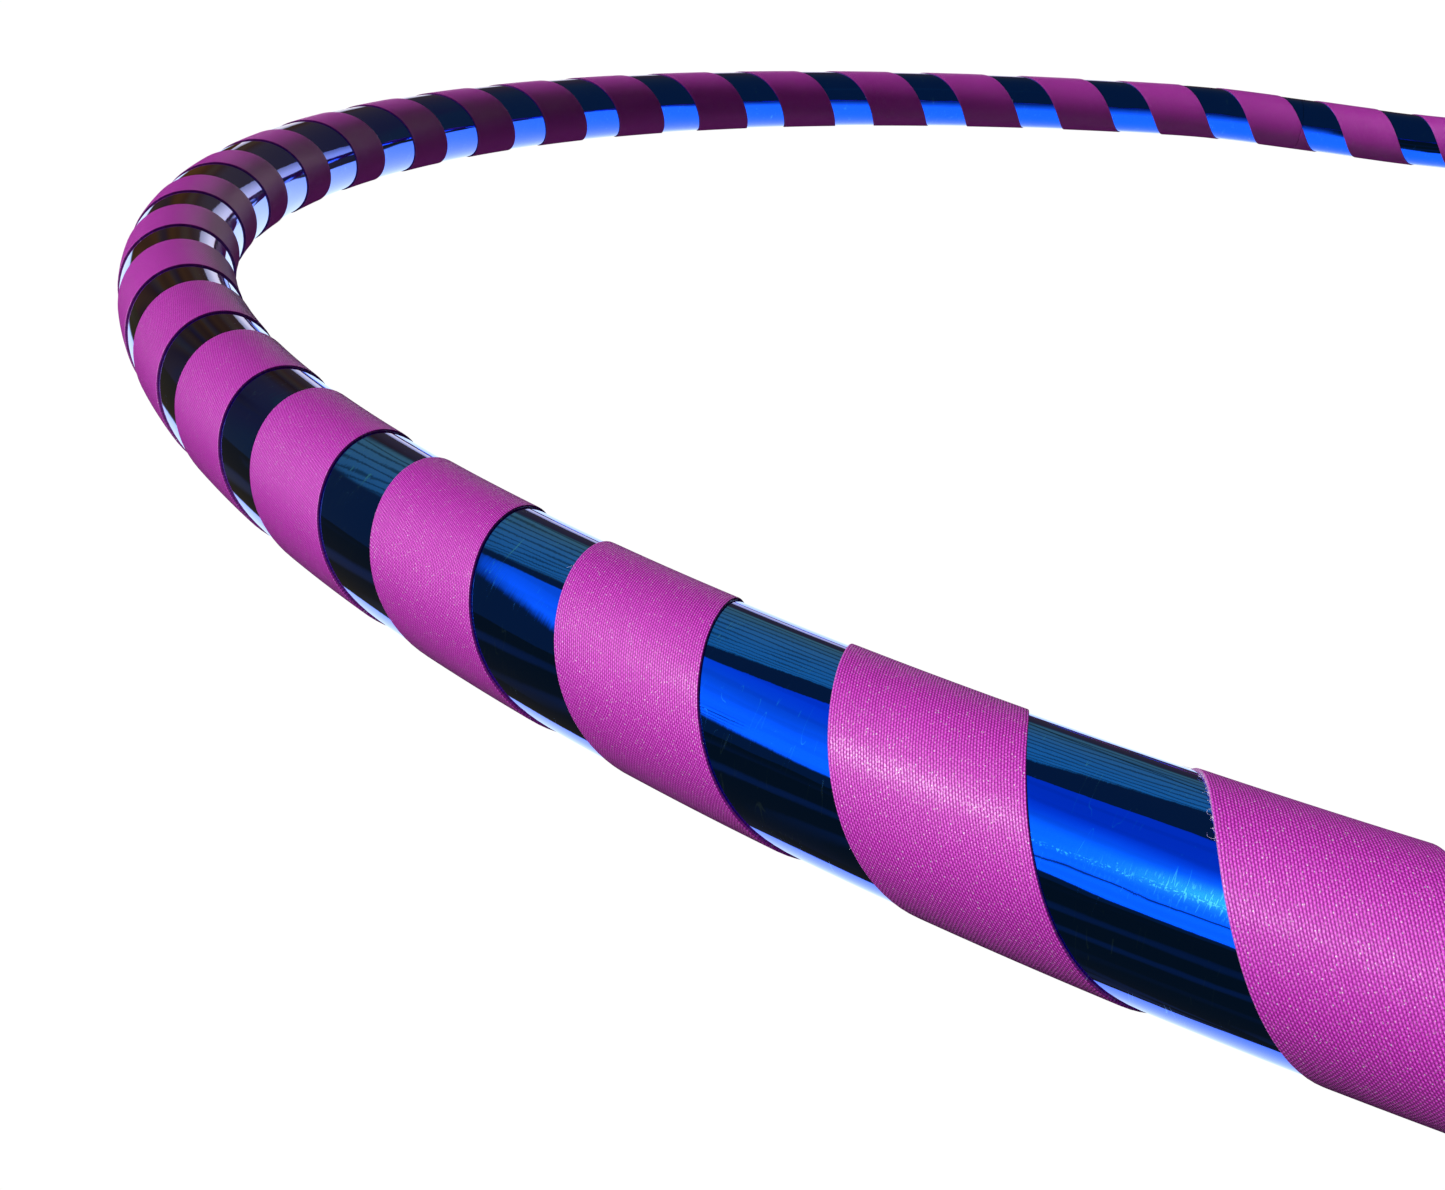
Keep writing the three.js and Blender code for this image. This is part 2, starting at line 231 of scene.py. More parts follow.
# ------------------------------------------------------------------ the tape ribbon
def tape_ribbon(name):
    """One helical ribbon with rounded edges, trimmed at the joint. UV is (along, across) in metres."""
    lo, hi = JOINT_TH + 0.1 * MM, JOINT_TH + 360 - 0.1 * MM
    per = 72
    m = np.arange(-16 * per, 52 * per)
    tau = m / per
    a0, b0 = lead(tau), lead(tau) + width(tau)
    # hand-wound edges wander by a few hundredths of a millimetre, with some slower drift
    def wander(seed, amp):
        r = np.random.default_rng(seed)
        out = np.zeros(len(tau))
        for period, w in ((3.1, 0.9), (0.83, 0.7), (0.31, 0.45), (0.11, 0.25)):
            out += w * np.sin(2 * np.pi * (tau / period + r.random())) * (0.6 + 0.4 * np.sin(2 * np.pi * tau / 7.3 + r.random() * 6))
        return out * amp * MM
    a0 = a0 + wander(3, 0.09)
    b0 = b0 + wander(5, 0.09)
    a, b = np.maximum(a0, lo), np.minimum(b0, hi)
    keep = b - a > 0.3 * MM
    tau, a, b, a0, b0 = tau[keep], a[keep], b[keep], a0[keep], b0[keep]
    psi = -2 * np.pi * tau
    # profile across the tape: distance from an edge in mm and height
    edge = [(0.0, TAPE_IN), (0.0, TAPE_R - 0.12), (0.05, TAPE_R - 0.045), (0.16, TAPE_R - 0.008), (0.6, TAPE_R)]
    inner_t = [0.2, 0.35, 0.5, 0.65, 0.8]
    cols = []
    for d, r in edge:
        cols.append(("a", d, r))
    for t in inner_t:
        cols.append(("m", t, TAPE_R))
    for d, r in reversed(edge):
        cols.append(("b", d, r))
    cols.append(("m", 0.5, TAPE_IN))
    rows = len(tau)
    th = np.zeros((rows, len(cols)))
    rr = np.zeros(len(cols))
    wmm = (b - a) / MM
    lim = np.minimum(1.0, wmm / 1.5)
    for c, (kind, d, r) in enumerate(cols):
        rr[c] = r
        if kind == "a":
            th[:, c] = a + d * lim * MM
        elif kind == "b":
            th[:, c] = b - d * lim * MM
        else:
            th[:, c] = a + (b - a) * d
    v = skin(th, psi[:, None], rr[None, :])
    n = len(cols)
    # arc length along the tape and the shift of the cross threads
    dth = np.gradient((a0 + b0) / 2, tau) / MM
    ds = np.sqrt((2 * np.pi * TAPE_R) ** 2 + dth**2)
    L = np.concatenate([[0], np.cumsum((ds[1:] + ds[:-1]) / 2 * np.diff(tau))])
    alpha = np.arctan2(dth, 2 * np.pi * TAPE_R)
    mid = (a0 + b0) / 2
    U = L[:, None] + (th - mid[:, None]) / MM * np.sin(alpha)[:, None]
    V = (th - a0[:, None]) / (b0 - a0)[:, None] * TAPE_MM
    i, j = np.meshgrid(np.arange(rows - 1), np.arange(n), indexing="ij")
    j2 = (j + 1) % n
    faces = np.stack([i * n + j, i * n + j2, (i + 1) * n + j2, (i + 1) * n + j], -1).reshape(-1, 4)
    UV = np.stack([U, V], -1).reshape(-1, 2)
    uvs = UV[faces]
    me_faces = faces
    ob = make_mesh(name, v.reshape(-1, 3), me_faces, uvs / 1000)
    import bmesh
    bm = bmesh.new()
    bm.from_mesh(ob.data)
    bm.verts.ensure_lookup_table()
    bm.faces.new([bm.verts[k] for k in range(n - 1, -1, -1)])
    bm.faces.new([bm.verts[(rows - 1) * n + k] for k in range(n)])
    bmesh.ops.recalc_face_normals(bm, faces=bm.faces)
    bm.to_mesh(ob.data)
    bm.free()
    return ob, tau, a, b, psi


# ------------------------------------------------------------------ node helper
class Nodes:
    """Small helper that wires shader nodes."""

    def __init__(self, name):
        self.mat = bpy.data.materials.new(name)
        self.mat.use_nodes = True
        self.t = self.mat.node_tree
        self.t.nodes.clear()
        self.out = self.t.nodes.new("ShaderNodeOutputMaterial")

    def n(self, kind, **props):
        node = self.t.nodes.new(kind)
        for k, v in props.items():
            setattr(node, k, v)
        return node

    def put(self, socket, value):
        if isinstance(value, bpy.types.NodeSocket):
            self.t.links.new(value, socket)
        else:
            socket.default_value = value

    def math(self, op, a, b=None, c=None, clamp=False):
        m = self.n("ShaderNodeMath", operation=op, use_clamp=clamp)
        for i, v in enumerate((a, b, c)):
            if v is not None:
                self.put(m.inputs[i], v)
        return m.outputs[0]

    def mix(self, fac, a, b, blend="MIX"):
        m = self.n("ShaderNodeMix", data_type="RGBA", blend_type=blend)
        self.put(m.inputs[0], fac)
        self.put(m.inputs[6], a)
        self.put(m.inputs[7], b)
        return m.outputs[2]

    def ramp(self, fac, stops, interpolation="LINEAR"):
        r = self.n("ShaderNodeValToRGB")
        r.color_ramp.interpolation = interpolation
        while len(r.color_ramp.elements) < len(stops):
            r.color_ramp.elements.new(0.5)
        for e, (p, c) in zip(r.color_ramp.elements, stops):
            e.position = p
            e.color = c if len(c) == 4 else (*c, 1)
        self.put(r.inputs[0], fac)
        return r.outputs[0]

    def noise(self, vec, scale, detail=2.0, rough=0.5, dims="3D"):
        x = self.n("ShaderNodeTexNoise", noise_dimensions=dims)
        self.put(x.inputs["Vector"], vec)
        x.inputs["Scale"].default_value = scale
        x.inputs["Detail"].default_value = detail
        x.inputs["Roughness"].default_value = rough
        return x.outputs[0]

    def mapped(self, vec, scale=(1, 1, 1), loc=(0, 0, 0), rot=(0, 0, 0)):
        m = self.n("ShaderNodeMapping")
        self.put(m.inputs["Vector"], vec)
        m.inputs["Scale"].default_value = scale
        m.inputs["Location"].default_value = loc
        m.inputs["Rotation"].default_value = rot
        return m.outputs[0]

    def uv(self):
        return self.n("ShaderNodeUVMap", uv_map="Along").outputs[0]

    def obj(self):
        return self.n("ShaderNodeTexCoord").outputs["Object"]

    def bump(self, h, dist, strength=1.0, normal=None):
        b = self.n("ShaderNodeBump")
        b.inputs["Strength"].default_value = strength
        b.inputs["Distance"].default_value = dist
        self.put(b.inputs["Height"], h)
        if normal is not None:
            self.put(b.inputs["Normal"], normal)
        return b.outputs[0]

    def shader(self, **values):
        p = self.n("ShaderNodeBsdfPrincipled")
        for k, v in values.items():
            self.put(p.inputs[k.replace("_", " ")], v)
        self.t.links.new(p.outputs[0], self.out.inputs["Surface"])
        return p


# ------------------------------------------------------------------ materials
COAT = 1.0


def grip_cloth():
    m = Nodes("grip_cloth")
    uv = m.mapped(m.uv(), scale=(1000, 1000, 1000))        # millimetres
    warp_noise = m.noise(uv, 0.9, 2.0)
    sep = m.n("ShaderNodeSeparateXYZ")
    m.put(sep.inputs[0], uv)
    # threads drift a little, as in real cloth
    u = m.math("ADD", sep.outputs[0], m.math("MULTIPLY", m.math("SUBTRACT", warp_noise, 0.5), 0.16))
    v = m.math("ADD", sep.outputs[1], m.math("MULTIPLY", m.math("SUBTRACT", m.noise(uv, 0.55, 2.0), 0.5), 0.22))
    A, B = 0.38, 0.54    # warp spacing across the tape; weave repeat along it
    va = m.math("DIVIDE", v, A)
    ub = m.math("DIVIDE", u, B)
    row = m.math("FLOOR", va)
    odd = m.math("MODULO", row, 2.0)
    # warp thread: a ridge along the tape that rises and falls over the weft
    ridge = m.math("POWER", m.math("ABSOLUTE", m.math("SINE", m.math("MULTIPLY", va, math.pi))), 1.0)
    phase = m.math("ADD", m.math("MULTIPLY", ub, 2 * math.pi), m.math("MULTIPLY", odd, math.pi))
    wave = m.math("ADD", m.math("MULTIPLY", m.math("COSINE", phase), 0.5), 0.5)
    warp = m.math("MULTIPLY", ridge, m.math("ADD", m.math("MULTIPLY", wave, 0.55), 0.45))
    # weft thread: crosses the tape, on top where the warp dips
    cross = m.math("POWER", m.math("ABSOLUTE", m.math("SINE", m.math("MULTIPLY", ub, 2 * math.pi))), 0.8)
    weft = m.math("MULTIPLY", m.math("MULTIPLY", cross, m.math("SUBTRACT", 1.0, wave)), 0.62)
    weave = m.math("MAXIMUM", warp, weft)
    fibre = m.noise(m.mapped(uv, scale=(5.5, 16, 1)), 1.0, 3.0, 0.6)
    height_ = m.math("ADD", weave, m.math("MULTIPLY", fibre, 0.35))
    # colour: painted shade darkens the pits between threads and a painted highlight lightens the thread tops; threads
    # differ a little, soft blotches
    thread = m.n("ShaderNodeTexWhiteNoise", noise_dimensions="1D")
    m.put(thread.inputs["W"], row)
    tone = m.math("ADD", m.math("MULTIPLY", thread.outputs[0], 0.16), m.math("MULTIPLY", m.noise(uv, 0.12, 3.0), 0.30))
    base = m.ramp(height_, [(0.0, (0.025, 0.001, 0.026)), (0.34, (0.17, 0.006, 0.16)),
                            (0.58, (0.56, 0.026, 0.50)), (0.88, (0.84, 0.066, 0.77)), (1.2, (0.93, 0.13, 0.88))])
    base = m.mix(m.math("MULTIPLY", m.math("SUBTRACT", tone, 0.12), 0.6), base, (0.26, 0.009, 0.25, 1), "MIX")

    def glints(sx, sy, off, size, share):
        """Small shiny spots in random cells: their strength and a colour for each."""
        t = m.n("ShaderNodeTexVoronoi", feature="F1", distance="EUCLIDEAN")
        m.put(t.inputs["Vector"], m.mapped(uv, scale=(sx, sy, 1), loc=(off, off * 0.37, 0)))
        t.inputs["Scale"].default_value = 1.0
        t.inputs["Randomness"].default_value = 1.0
        cell = m.n("ShaderNodeSeparateColor")
        m.put(cell.inputs[0], t.outputs["Color"])
        near = m.math("MULTIPLY", m.math("SUBTRACT", 1.0, m.math("MULTIPLY", t.outputs["Distance"], size), clamp=True), 1.6, clamp=True)
        return m.math("MULTIPLY", near, m.math("GREATER_THAN", cell.outputs[0], 1.0 - share)), cell.outputs[1]

    # painted glints: a few bright spots painted into the colour everywhere, and many flat shiny facets that catch the
    # lamps, also painted lighter in colour
    glint_spots, hue = glints(2.6, 3.3, 0.0, 2.9, 0.13)
    facet, hue2 = glints(3.1, 4.2, 17.0, 2.2, 0.42)
    glint_colour = m.ramp(hue, [(0.0, (1.0, 0.66, 0.86)), (0.5, (1.0, 0.80, 1.0)), (1.0, (0.80, 0.80, 1.0))])
    # painted highlight: bright white-pink glint spots mixed into the base colour
    base = m.mix(m.math("MULTIPLY", glint_spots, 0.85), base, glint_colour)
    # painted highlight: the facets' colour made lighter pink; their lower roughness is real
    base = m.mix(m.math("MULTIPLY", facet, 0.30), base, (0.95, 0.42, 0.90, 1))
    glint = m.math("MAXIMUM", facet, glint_spots)
    # pale edge: the raw cut edge, painted paler on one side only as a painted highlight where it catches the light,
    # broken up by a little lint and wear; a painted shadow darkens the other edge
    across = sep.outputs[1]
    raw_and_lit_edge = m.math("SUBTRACT", 1.0, m.math("DIVIDE", across, 0.14), clamp=True)
    painted_edge_shadow = m.math("SUBTRACT", 1.0, m.math("DIVIDE", m.math("SUBTRACT", TAPE_MM, across), 0.13), clamp=True)
    fuzz = m.noise(m.mapped(uv, scale=(1.5, 3.0, 1)), 1.0, 4.0, 0.65)
    raw_and_lit_edge = m.math("MULTIPLY", raw_and_lit_edge, m.ramp(fuzz, [(0.35, (0.25, 0.25, 0.25)), (0.6, (1, 1, 1))]))
    # raw cut edge painted paler, partly as a painted highlight
    base = m.mix(m.math("MULTIPLY", raw_and_lit_edge, 0.75), base, (0.80, 0.52, 0.82, 1))
    # painted shadow: a dark line along the trailing edge of the tape
    base = m.mix(m.math("MULTIPLY", painted_edge_shadow, 0.7), base, (0.10, 0.008, 0.11, 1))
    rough = m.ramp(glint, [(0.0, (0.44, 0.44, 0.44)), (0.6, (0.24, 0.24, 0.24))])
    normal = m.bump(height_, 0.00009, 1.0)
    # the flattened thread tops share one smooth sheen; it breaks up from thread to thread
    grains = m.noise(m.mapped(uv, scale=(2.6, 3.4, 1), loc=(5, 2, 0)), 1.0, 1.0)
    tops = m.ramp(height_, [(0.50, (0, 0, 0)), (0.95, (1, 1, 1))])
    sheen = m.math("MULTIPLY", tops, m.ramp(grains, [(0.32, (0.15, 0.15, 0.15)), (0.68, (1, 1, 1))]))
    sheen = m.math("MULTIPLY", m.math("MAXIMUM", sheen, m.math("MULTIPLY", glint, 0.8)), COAT, clamp=True)
    p = m.shader(Base_Color=base, Roughness=rough, Normal=normal)
    m.t.links.new(sheen, p.inputs["Coat Weight"])
    p.inputs["Coat Roughness"].default_value = 0.32
    p.inputs["Coat IOR"].default_value = 1.5
    p.inputs["Specular IOR Level"].default_value = 0.8
    p.inputs["Specular Tint"].default_value = (1.0, 0.78, 0.94, 1)
    p.inputs["Sheen Weight"].default_value = 0.08
    p.inputs["Sheen Roughness"].default_value = 0.4
    p.inputs["Sheen Tint"].default_value = (0.95, 0.45, 0.95, 1)
    return m.mat


def mirror_film():
    m = Nodes("mirror_film")
    uv = m.mapped(m.uv(), scale=(1000, 1000, 1000))
    # slow ripples of a thin film laid on a pipe, then fine drag lines round it
    ripple = m.noise(m.mapped(uv, scale=(0.035, 0.16, 1)), 1.0, 2.0)
    drag = m.noise(m.mapped(uv, scale=(0.9, 0.045, 1)), 1.0, 3.0, 0.6)
    dimple = m.noise(uv, 0.55, 1.0)
    h = m.math("ADD", m.math("MULTIPLY", ripple, 1.0),
               m.math("ADD", m.math("MULTIPLY", drag, 0.05), m.math("MULTIPLY", dimple, 0.05)))
    normal = m.bump(h, 0.00016, 0.55)
    # scratches: thin bright lines, most of them round the tube
    def scratches(rot, sx, sy, lo_, seed):
        w = m.noise(m.mapped(uv, scale=(sx, sy, 1), loc=(seed, seed * 0.7, 0), rot=(0, 0, rot)), 1.0, 1.0, 0.4)
        line = m.math("ABSOLUTE", m.math("SUBTRACT", w, 0.5))
        thin = m.math("SUBTRACT", 1.0, m.math("MULTIPLY", line, 260.0), clamp=True)
        gate = m.math("GREATER_THAN", m.noise(m.mapped(uv, scale=(0.21, 0.17, 1), loc=(seed, 4, 1)), 1.0, 2.0), lo_)
        return m.math("MULTIPLY", thin, gate)
    s = m.math("MAXIMUM", scratches(0.05, 0.55, 0.05, 0.56, 3.0), scratches(1.2, 0.35, 0.06, 0.60, 11.0))
    # dust: tiny pale dots
    dots = m.n("ShaderNodeTexVoronoi", feature="F1")
    m.put(dots.inputs["Vector"], m.mapped(uv, scale=(0.62, 0.62, 1)))
    dots.inputs["Scale"].default_value = 1.0
    dcell = m.n("ShaderNodeSeparateColor")
    m.put(dcell.inputs[0], dots.outputs["Color"])
    dust = m.math("MULTIPLY", m.math("SUBTRACT", 1.0, m.math("MULTIPLY", dots.outputs["Distance"], 14.0), clamp=True),
                  m.math("GREATER_THAN", dcell.outputs[1], 0.55))
    at = m.n("ShaderNodeSeparateXYZ")
    m.put(at.inputs[0], uv)
    x0 = (float(lead(12 - 33 / 360) + width(12 - 33 / 360)) - JOINT_TH) / MM
    x1 = (float(lead(13 - 33 / 360)) - JOINT_TH) / MM
    gx = m.math("DIVIDE", m.math("SUBTRACT", at.outputs[0], x0), x1 - x0, clamp=True)
    gx = m.math("MULTIPLY", gx, m.math("LESS_THAN", at.outputs[0], x1 + 3.0))
    off = m.math("ABSOLUTE", m.math("SUBTRACT", at.outputs[1], m.math("ADD", 7.0, m.math("MULTIPLY", gx, 0.5))))
    row = m.math("SUBTRACT", 1.0, m.math("DIVIDE", off, 0.35), clamp=True)
    patch = m.math("MULTIPLY", m.math("SUBTRACT", 1.0, m.math("DIVIDE", off, 1.7), clamp=True), m.math("POWER", gx, 1.5))
    hatch = m.ramp(m.noise(m.mapped(uv, scale=(4.2, 0.75, 1)), 1.0, 2.0), [(0.585, (0, 0, 0)), (0.64, (1, 1, 1))])
    peck = m.ramp(m.noise(m.mapped(uv, scale=(3.0, 4.0, 1)), 1.0, 1.0), [(0.56, (0, 0, 0)), (0.62, (1, 1, 1))])
    inside = m.math("MULTIPLY", m.math("GREATER_THAN", gx, 0.001), m.math("LESS_THAN", gx, 1.2))
    scuff = m.math("MULTIPLY", m.math("MAXIMUM", m.math("MULTIPLY", row, peck), m.math("MULTIPLY", patch, hatch)), inside)
    haze = m.math("MULTIPLY", m.math("SUBTRACT", m.noise(m.mapped(uv, scale=(5.0, 1.6, 1)), 1.0, 3.0, 0.65), 0.5), 0.22)
    mark = m.math("MAXIMUM", m.math("MULTIPLY", s, 0.55), m.math("MULTIPLY", dust, 0.5))
    mark = m.math("MAXIMUM", mark, m.math("MULTIPLY", scuff, 0.8))
    tone = m.noise(m.mapped(uv, scale=(0.05, 0.05, 1)), 1.0, 2.0)
    base = m.mix(tone, (0.006, 0.112, 0.90, 1), (0.009, 0.128, 1.0, 1))
    base = m.mix(m.math("ADD", 0.11, haze, clamp=True), base, (0.010, 0.20, 1.0, 1))
    base = m.mix(mark, base, (0.20, 0.50, 1.0, 1))
    smear = m.noise(m.mapped(uv, scale=(0.10, 0.22, 1), loc=(7, 3, 0)), 1.0, 4.0, 0.6)
    rough = m.math("ADD", m.math("MULTIPLY", smear, 0.018), 0.005)
    rough = m.math("ADD", rough, m.math("MULTIPLY", mark, 0.30))
    p = m.shader(Base_Color=base, Roughness=rough, Normal=normal)
    p.inputs["Metallic"].default_value = 1.0
    p.inputs["Coat Weight"].default_value = 1.0
    p.inputs["Coat IOR"].default_value = 1.22
    p.inputs["Coat Roughness"].default_value = 0.02
    return m.mat


def pipe_plastic(name, dark, light, rough):
    m = Nodes(name)
    c = m.obj()
    n1 = m.noise(c, 220.0, 3.0)
    n2 = m.noise(c, 1800.0, 2.0)
    base = m.mix(n1, dark, light)
    r = m.math("ADD", m.math("MULTIPLY", n1, 0.18), rough)
    normal = m.bump(m.math("ADD", m.math("MULTIPLY", n2, 0.6), n1), 0.00006, 0.5)
    m.shader(Base_Color=base, Roughness=r, Normal=normal)
    return m.mat


def metal(name, dark, light, rough, grain=(900, 900, 60)):
    m = Nodes(name)
    c = m.obj()
    g = m.noise(m.mapped(c, scale=grain), 1.0, 4.0, 0.6)
    spots = m.noise(c, 260.0, 3.0)
    base = m.mix(g, dark, light)
    base = m.mix(m.ramp(spots, [(0.55, (0, 0, 0)), (0.75, (0.5, 0.5, 0.5))]), base, (0.25, 0.24, 0.23, 1))
    r = m.math("ADD", m.math("MULTIPLY", g, 0.18), rough)
    normal = m.bump(g, 0.00002, 0.4)
    p = m.shader(Base_Color=base, Roughness=r, Normal=normal)
    p.inputs["Metallic"].default_value = 1.0
    return m.mat


def lint_fibre():
    m = Nodes("lint_fibre")
    n1 = m.noise(m.obj(), 300.0, 2.0)
    base = m.mix(n1, (0.60, 0.46, 0.78, 1), (0.84, 0.82, 0.96, 1))
    m.shader(Base_Color=base, Roughness=0.6)
    return m.mat


# ------------------------------------------------------------------ camera
def place_camera():
    R = RING_R / 1000
    d, h, yaw, pitch, roll, f = 1.3647, 0.2140, 0.4988, -0.3900, 0.0778, 1717.94
    fwd = Vector((-math.sin(yaw) * math.cos(pitch), math.cos(yaw) * math.cos(pitch), math.sin(pitch)))
    right = Vector((math.cos(yaw), math.sin(yaw), 0))
    up = right.cross(fwd)
    r2 = right * math.cos(roll) + up * math.sin(roll)
    u2 = -right * math.sin(roll) + up * math.cos(roll)
    cam = bpy.data.cameras.new("camera")
    cam.sensor_width = 36.0
    cam.sensor_fit = "HORIZONTAL"
    cam.lens = 36.0 * f / 1445
    cam.clip_start, cam.clip_end = 0.01, 60
    ob = bpy.data.objects.new("camera", cam)
    m = Matrix((r2, u2, -fwd)).transposed().to_4x4()
    m.translation = Vector((0, -d * R, h * R + BASE_Z / 1000))
    ob.matrix_world = m
    bpy.context.scene.collection.objects.link(ob)
    bpy.context.scene.camera = ob


place_camera()


# ------------------------------------------------------------------ stage
def emitter(name, colour, strength=1.0, attribute=None):
    m = Nodes(name)
    e = m.n("ShaderNodeEmission")
    if attribute:
        a = m.n("ShaderNodeAttribute", attribute_name=attribute)
        m.put(e.inputs[0], a.outputs["Color"])
    else:
        e.inputs[0].default_value = (*colour, 1)
    e.inputs[1].default_value = strength
    m.t.links.new(e.outputs[0], m.out.inputs["Surface"])
    return m.mat


def only(ob, camera=False, diffuse=False, glossy=False, shadow=False):
    ob.visible_camera = camera
    ob.visible_diffuse = diffuse
    ob.visible_glossy = glossy
    ob.visible_transmission = False
    ob.visible_volume_scatter = False
    ob.visible_shadow = shadow


def smooth(x, a, b):
    t = np.clip((x - a) / (b - a), 0, 1)
    return t * t * (3 - 2 * t)


def room(az, el):
    """Radiance of the surroundings as the mirror film shows them; az, el in degrees."""
    az = (az + 180) % 360 - 180
    out = np.zeros(az.shape + (3,))

    def lay(mask, colour):
        nonlocal out
        m_ = mask[..., None]
        out = out * (1 - m_) + np.asarray(colour) * m_

    # upper surroundings: dim, slightly blue-green
    lay(np.ones_like(az), (0.050, 0.062, 0.043))
    # warm dark wall behind the ring
    wall = smooth(az, 88, 96) * (1 - smooth(az, 172, 180)) * (1 - smooth(el, 22, 30))
    lay(wall, (0.062, 0.044, 0.040))
    warm = smooth(az, 128, 136) * (1 - smooth(az, 162, 174)) * smooth(el, -18, -15) * (1 - smooth(el, 18, 24))
    grain = 0.74 + 0.20 * np.sin(np.radians(az * 67 + 50 * np.sin(np.radians(el * 7)))) + 0.16 * np.sin(np.radians(az * 29 + el * 9))
    green = smooth(np.sin(np.radians(az * 43 + 30 * np.sin(np.radians(el * 11)))), 0.0, 0.9) * 0.5 + 0.5 * smooth(az, 148, 168)
    lay(warm, np.stack([0.070 * grain * (1 - 0.45 * green) + 0.014, 0.030 * grain * (1 + 0.35 * green) + 0.006, 0.010 + 0.022 * green], -1))
    # large softbox behind and beside the camera
    a = np.where(az < 0, -az, 360 - az)
    low = np.interp(a, [60, 85, 107, 131, 149, 156, 165, 173, 180], [-3, -1, 2.8, 8.5, 17, 24, 29, 34, 38])
    high = np.interp(a, [60, 85, 107, 119, 128, 180], [45, 54, 68, 80, 92, 92])
    side = np.interp(el, [25, 40, 52, 57, 65, 72, 78, 90], [180, 178.5, 170, 169, 173, 177, 174, 172])
    soft = np.interp(a, [125, 150], [0.7, 3.2])
    box = smooth(a, 55, 60) * (1 - smooth(a, side - 0.8, side + 0.8)) * smooth(el, low - soft, low + soft) * (1 - smooth(el, high - 1.5, high + 1.5))
    grad = 1.45 - 0.85 * smooth(el, 14, 50) - 0.25 * smooth(el, 45, 66)
    folds = 1 - 0.10 * smooth(np.sin(2 * np.pi * (el / 13.0 + 0.5 * np.sin(np.radians(a * 2.2)))), 0.2, 0.9)
    line = 15.5 + 0.7 * np.sin(np.radians(a * 40)) + 0.4 * np.sin(np.radians(a * 97))
    cord = 1 - 0.93 * np.exp(-((el - line) / 0.9) ** 2) * (1 - smooth(a, 118, 126)) * smooth(a, 88, 94)
    frays = smooth(np.sin(np.radians(el * 150 + 60 * np.sin(np.radians(a * 9)))), 0.3, 0.9) * smooth(a, 134, 137) * (1 - smooth(a, 138, 142)) * smooth(el, 9, 12) * (1 - smooth(el, 17, 22))
    glow = np.exp(-(((a - 112) / 15) ** 2 + ((el - 38) / 14) ** 2))
    hot = np.exp(-(((a - 104.5) / 5.5) ** 2 + ((el - 36) / 8) ** 2))
    m_ = box[..., None]
    deep = (smooth(el, 40, 60))[..., None]
    tone = np.array([0.10, 0.64, 1.02]) * (1 - deep) + np.array([0.03, 0.52, 1.45]) * deep
    out = out * (1 - m_) + (tone * (grad * folds)[..., None] + np.array([0.06, 0.62, 0.62]) * glow[..., None]
                            + np.array([1.3, 2.3, 1.6]) * hot[..., None]) * (cord * (1 - 0.8 * frays))[..., None] * m_
    # below: white paper under and beyond the ring, dark floor in front
    down = (1 - smooth(el, -1.6, -1.0)) * (1 - smooth(az, 88, 96) * (1 - smooth(az, 106, 110)) * smooth(el, -9, -5))
    streak = 0.5 + 0.5 * np.sin(2 * np.pi * (el / 19.0 + 0.8 * np.sin(np.radians(az * 1.3 + 20)) + 0.10 * np.sin(np.radians(az * 6))))
    streak = smooth(streak, 0.62, 1.0) * smooth(-el, 2, 10) * (0.55 + 0.45 * np.sin(np.radians(el * 5 + az)))
    dark = np.array([0.045, 0.034, 0.014]) + np.array([0.03, 0.034, 0.040]) * streak[..., None]
    m_ = down[..., None]
    out = out * (1 - m_) + dark * m_
    edge = np.interp(el, [-80, -62, -47, -36, -17, 0], [142, 153, 157, 160, 159, 150])
    rim = np.interp(az, [60, 88, 96, 101, 104, 108, 180], [-2.6, -5.0, -9.5, -9.0, -6.5, -2.6, -2.6])
    paper = smooth(az, -40, -34) * (1 - smooth(az, edge - 1.0, edge + 1.0)) * (1 - smooth(el, rim, rim + 1))
    reach = np.interp(az, [-34, 0, 25, 55], [38, 34, 22, 3])
    level = 0.10 + 0.90 * np.clip(-el / reach, 0, 1) ** 1.3
    tint = smooth(az, 50, 105)[..., None]
    white = np.array([0.50, 1.02, 1.5]) * (1 - tint) + np.array([0.82, 1.02, 1.35]) * tint
    lay(paper, white * level[..., None])
    return out


def boards(az, el):
    """Radiance of the boarded ceiling over the near side of the ring, and where it is."""
    rise = np.log(np.tan(np.radians(el)) / np.cos(np.radians(az - 100)).clip(0.05) ** 0.9)
    board = np.interp(rise, [-1.8, -1.2, -0.906, -0.61, -0.386, -0.168, 0.049, 0.239, 0.412, 0.582, 0.745, 0.9, 1.05, 1.5],
                      [-5, -3, -2, -1, 0, 1, 2, 3, 4, 5, 6, 7, 8, 11])
    board = board + 0.10 * np.sin(np.radians(az * 23)) + 0.05 * np.sin(np.radians(az * 61 + 50))
    slat = 0.42 + 0.62 * smooth(0.5 - 0.5 * np.cos(2 * np.pi * board), 0.0, 0.42)
    beam = 21.5 + (104.0 - az) * 2.2 + 0.5 * np.sin(np.radians(az * 140))
    slat = slat * (1 - 0.85 * np.exp(-((el - beam) / 1.1) ** 2) * (1 - smooth(az, 105, 109)))
    low = np.interp(az, [98, 104, 115, 125, 136, 150, 180], [14.5, 15, 15, 17, 18.5, 22, 24])
    top = np.interp(az, [98, 116, 125, 137, 150, 163, 170, 178], [60, 64, 66, 66.5, 63.5, 57.5, 54, 45])
    mask = smooth(az, 93, 96) * (1 - smooth(az, 173.5, 177)) * smooth(el, low, low + 3.5) * (1 - smooth(el, top - 1.0, top + 1.0))
    fade = 0.62 + 0.38 * smooth(el, 22, 42) + 0.22 * smooth(el, 40, 62)
    m_ = mask[..., None]
    return np.array([0.050, 0.062, 0.043]) * (1 - m_) + np.array([0.24, 0.51, 0.27]) * (fade * slat)[..., None] * m_, mask


